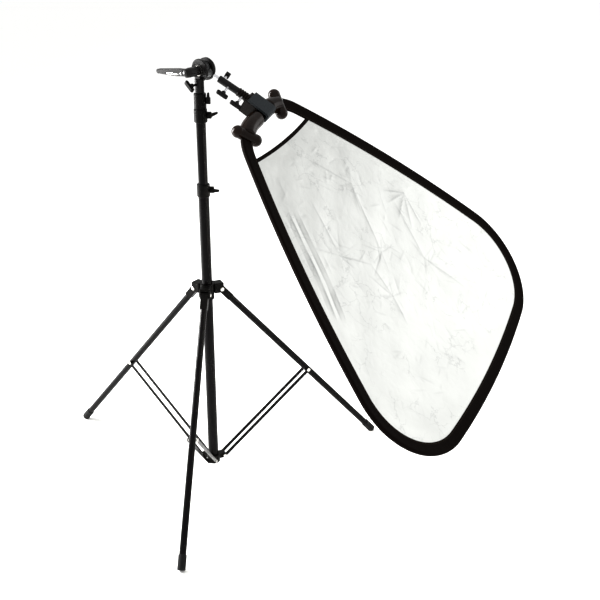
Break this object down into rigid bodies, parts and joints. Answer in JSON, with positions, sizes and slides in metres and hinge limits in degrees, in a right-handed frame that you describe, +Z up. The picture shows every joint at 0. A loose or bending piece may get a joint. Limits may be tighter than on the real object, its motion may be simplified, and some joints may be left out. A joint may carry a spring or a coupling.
{
  "type": "hand-grip reflector on folding stand",
  "caption": "Collapsible silver reflector panel with a hand grip, held by a clamp arm and grip head on a folding telescopic light stand.",
  "frame": {"origin": "centre of the overall bounding box, on the floor under the feet", "axes": "+Z up; -Y along the front leg, towards the viewer; +X to the side the reflector leans"},
  "size_m": [1.1524, 0.7848, 1.0323],
  "materials": {
    "black_metal": "satin black paint",
    "black_plastic": "moulded, semi-matte",
    "brown_plastic": "moulded, dark brown-black",
    "rubber": "matte",
    "chrome": "bright plated",
    "steel": "plain steel",
    "grey_metal": "cast, dull grey",
    "pad_grey": "blue-grey, smooth and matte",
    "silver_fabric": "metallised, lightly creased",
    "white_fabric": "plain woven white",
    "binding_fabric": "woven black binding tape"
  },
  "bodies": {
    "column": {"column_tube": "black_metal", "brace_hub": "black_plastic", "collar_1": "black_plastic", "hub_rivet_front": "chrome", "hub_rivet_right": "chrome", "hub_rivet_left": "chrome"},
    "collar_1_lever": {"collar_1_lever": "black_plastic"},
    "leg_collar": {"leg_collar": "black_plastic", "leg_rivet_front": "chrome", "leg_rivet_right": "chrome", "leg_rivet_left": "chrome"},
    "leg_collar_knob": {"leg_collar_knob": "black_plastic"},
    "leg_front": {"leg_head_front": "black_plastic", "leg_tube_front": "black_metal", "foot_front": "rubber"},
    "leg_right": {"leg_head_right": "black_plastic", "leg_tube_right": "black_metal", "foot_right": "rubber"},
    "leg_left": {"leg_head_left": "black_plastic", "leg_tube_left": "black_metal", "foot_left": "rubber"},
    "brace_front": {"brace_front_a": "black_metal", "brace_front_b": "black_metal"},
    "brace_right": {"brace_right_a": "black_metal", "brace_right_b": "black_metal"},
    "brace_left": {"brace_left_a": "black_metal", "brace_left_b": "black_metal"},
    "riser_1": {"riser_tube_1": "black_metal", "collar_2": "black_plastic"},
    "collar_2_lever": {"collar_2_lever": "black_plastic"},
    "riser_2": {"riser_tube_2": "black_metal", "collar_3": "black_plastic"},
    "collar_3_lever": {"collar_3_lever": "black_plastic"},
    "stud": {"stud_tube": "black_metal"},
    "head": {"head_socket": "black_metal", "head_jaw_front": "grey_metal"},
    "head_socket_knob": {"head_socket_knob": "black_plastic"},
    "tilt_jaw": {"head_jaw_rear": "grey_metal", "head_cap_rear": "black_plastic", "arm_rod": "steel"},
    "head_lever": {"head_lever_barrel": "black_metal", "head_lever": "black_metal", "head_washer": "chrome"},
    "arm": {"arm_tube": "black_metal"},
    "arm_knob_1": {"arm_knob_1": "black_plastic"},
    "arm_screw": {"arm_screw": "black_plastic"},
    "wrist": {"arm_sleeve": "brown_plastic", "clamp_body": "brown_plastic"},
    "arm_knob_2": {"arm_knob_2": "black_plastic"},
    "clamp_jaw": {"clamp_jaw": "pad_grey"},
    "reflector": {"handle": "brown_plastic", "hoop_spring": "steel", "edge_binding": "binding_fabric", "fabric_silver": "silver_fabric", "fabric_white": "white_fabric", "fabric_top_tape": "binding_fabric"}
  },
  "joints": [
    {"name": "leg_collar_slide", "type": "slide", "parent": "column", "child": "leg_collar", "axis": [0, 0, 1], "range_m": [0, 0.1926]},
    {"name": "leg_collar_knob_turn", "type": "hinge", "parent": "leg_collar", "child": "leg_collar_knob", "pos_m": [-0.18281, 0.09626, 0.488], "axis": [0, 1, 0], "continuous": true},
    {"name": "leg_front_fold", "type": "hinge", "parent": "leg_collar", "child": "leg_front", "pos_m": [-0.18281, 0.02726, 0.484], "axis": [1, 0, 0], "range_deg": [0, 40.8]},
    {"name": "leg_right_fold", "type": "hinge", "parent": "leg_collar", "child": "leg_right", "pos_m": [-0.15423, 0.07676, 0.484], "axis": [-0.5, 0.866, 0], "range_deg": [0, 40.8]},
    {"name": "leg_left_fold", "type": "hinge", "parent": "leg_collar", "child": "leg_left", "pos_m": [-0.21139, 0.07676, 0.484], "axis": [-0.5, -0.866, 0], "range_deg": [0, 40.8]},
    {"name": "brace_front_fold", "type": "hinge", "parent": "column", "child": "brace_front", "pos_m": [-0.18281, 0.03396, 0.033], "axis": [-1, 0, 0], "range_deg": [0, 49.3]},
    {"name": "brace_right_fold", "type": "hinge", "parent": "column", "child": "brace_right", "pos_m": [-0.16003, 0.07341, 0.033], "axis": [0.5, -0.866, 0], "range_deg": [0, 49.3]},
    {"name": "brace_left_fold", "type": "hinge", "parent": "column", "child": "brace_left", "pos_m": [-0.20559, 0.07341, 0.033], "axis": [0.5, 0.866, 0], "range_deg": [0, 49.3]},
    {"name": "collar_1_lever_flip", "type": "hinge", "parent": "column", "child": "collar_1_lever", "pos_m": [-0.16301, 0.06026, 0.7315], "axis": [0, -1, 0], "range_deg": [0, 80]},
    {"name": "riser_1_slide", "type": "slide", "parent": "column", "child": "riser_1", "axis": [0, 0, 1], "range_m": [-0.142, 0.4]},
    {"name": "collar_2_lever_flip", "type": "hinge", "parent": "riser_1", "child": "collar_2_lever", "pos_m": [-0.16301, 0.06026, 0.906], "axis": [0, -1, 0], "range_deg": [0, 60]},
    {"name": "riser_2_slide", "type": "slide", "parent": "riser_1", "child": "riser_2", "axis": [0, 0, 1], "range_m": [0, 0.52]},
    {"name": "collar_3_lever_flip", "type": "hinge", "parent": "riser_2", "child": "collar_3_lever", "pos_m": [-0.16421, 0.06026, 0.9389], "axis": [0, 1, 0], "range_deg": [0, 80]},
    {"name": "stud_slide", "type": "slide", "parent": "riser_2", "child": "stud", "axis": [0, 0, 1], "range_m": [0, 0.5]},
    {"name": "head_turn", "type": "hinge", "parent": "stud", "child": "head", "pos_m": [-0.18281, 0.06026, 0.973], "axis": [0, 0, 1], "continuous": true},
    {"name": "head_socket_knob_turn", "type": "hinge", "parent": "head", "child": "head_socket_knob", "pos_m": [-0.20081, 0.03626, 0.977], "axis": [-0.6, -0.8, 0], "continuous": true},
    {"name": "head_tilt", "type": "hinge", "parent": "head", "child": "tilt_jaw", "pos_m": [-0.17381, 0.07226, 1.0073], "axis": [0.6, 0.8, 0], "range_deg": [-55, 12]},
    {"name": "head_lever_turn", "type": "hinge", "parent": "head", "child": "head_lever", "pos_m": [-0.19481, 0.04426, 1.0073], "axis": [0.6, 0.8, 0], "range_deg": [0, 140]},
    {"name": "arm_slide", "type": "slide", "parent": "tilt_jaw", "child": "arm", "axis": [0.8375, -0.0789, -0.5407], "range_m": [0, 0.045]},
    {"name": "arm_knob_1_turn", "type": "hinge", "parent": "arm", "child": "arm_knob_1", "pos_m": [-0.12641, 0.02768, 0.96384], "axis": [-0.2385, -0.9431, -0.2317], "continuous": true},
    {"name": "arm_screw_turn", "type": "hinge", "parent": "arm", "child": "arm_screw", "pos_m": [-0.1259, 0.09039, 0.98858], "axis": [0.2385, 0.9431, 0.2317], "continuous": true},
    {"name": "wrist_turn", "type": "hinge", "parent": "arm", "child": "wrist", "pos_m": [-0.08563, 0.06245, 0.95294], "axis": [0.8375, -0.0789, -0.5407], "range_deg": [-30, 30]},
    {"name": "arm_knob_2_turn", "type": "hinge", "parent": "wrist", "child": "arm_knob_2", "pos_m": [-0.09551, 0.02476, 0.94389], "axis": [-0.2385, -0.9431, -0.2317], "continuous": true},
    {"name": "clamp_jaw_open", "type": "hinge", "parent": "wrist", "child": "clamp_jaw", "pos_m": [-0.06666, 0.06176, 0.94996], "axis": [-0.3023, -0.9342, -0.1894], "range_deg": [0, 25]},
    {"name": "grip_turn", "type": "hinge", "parent": "wrist", "child": "reflector", "pos_m": [-0.04915, 0.04753, 0.91038], "axis": [-0.3023, -0.9342, -0.1894], "range_deg": [-15, 15]}
  ],
  "couplings": [
    {"joint": "leg_front_fold", "follows": "leg_collar_slide", "rad_per_m": 3.6936},
    {"joint": "leg_right_fold", "follows": "leg_collar_slide", "rad_per_m": 3.6936},
    {"joint": "leg_left_fold", "follows": "leg_collar_slide", "rad_per_m": 3.6936},
    {"joint": "brace_front_fold", "follows": "leg_collar_slide", "rad_per_m": 4.4603},
    {"joint": "brace_right_fold", "follows": "leg_collar_slide", "rad_per_m": 4.4603},
    {"joint": "brace_left_fold", "follows": "leg_collar_slide", "rad_per_m": 4.4603}
  ]
}
